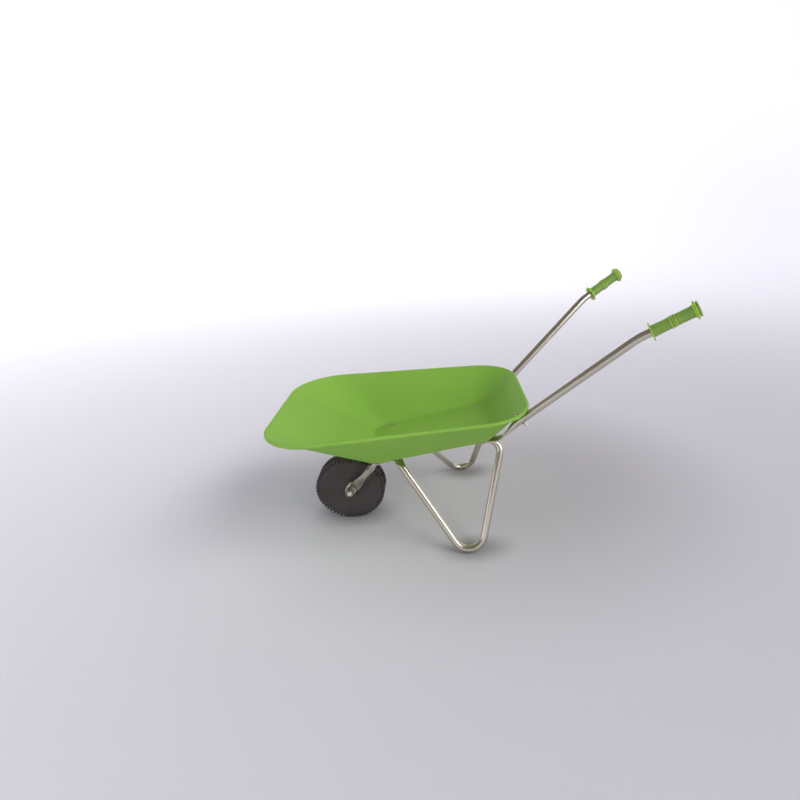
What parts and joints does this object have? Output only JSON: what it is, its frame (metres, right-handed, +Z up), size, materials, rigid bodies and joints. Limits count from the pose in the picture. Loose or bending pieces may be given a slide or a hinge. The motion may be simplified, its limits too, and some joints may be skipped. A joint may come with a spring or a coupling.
{
  "type": "wheelbarrow",
  "caption": "Children's garden wheelbarrow: pressed steel tray on bent tube legs that form the fork, bolted tube handles with moulded grips, and a wheel that turns.",
  "frame": {"origin": "on the ground, under the middle of the whole barrow's box", "axes": "+X forwards towards the wheel, +Y to the pusher's left, +Z up"},
  "size_m": [0.7852, 0.433, 0.5195],
  "materials": {
    "tray_paint": "semi-gloss",
    "tube_zinc": "satin",
    "bolt_zinc": "satin",
    "grip_plastic": "satin",
    "wheel_plastic": "matt",
    "bush_plastic": "matt"
  },
  "bodies": {
    "frame": {"tray": "tray_paint", "side_frame_left": "tube_zinc", "side_frame_right": "tube_zinc", "handle_left": "tube_zinc", "handle_right": "tube_zinc", "handle_spacer_left": "bolt_zinc", "handle_spacer_right": "bolt_zinc", "grip_left": "grip_plastic", "grip_right": "grip_plastic", "axle_bolt": "bolt_zinc", "axle_sleeve": "bolt_zinc", "axle_washer_left": "bolt_zinc", "axle_washer_right": "bolt_zinc", "axle_nut": "bolt_zinc", "front_floor_bolts": "bolt_zinc", "front_floor_washers": "bolt_zinc", "front_floor_nuts": "bolt_zinc", "rear_floor_bolts": "bolt_zinc", "rear_floor_washers": "bolt_zinc", "rear_floor_nuts": "bolt_zinc", "wall_bolts": "bolt_zinc", "wall_washers": "bolt_zinc", "wall_nuts": "bolt_zinc"},
    "wheel": {"wheel": "wheel_plastic", "hub_bush_left": "bush_plastic", "hub_bush_right": "bush_plastic"}
  },
  "joints": [
    {"name": "wheel_spin", "type": "hinge", "parent": "frame", "child": "wheel", "pos_m": [0.26751, 0, 0.075], "axis": [0, 1, 0], "continuous": true}
  ]
}
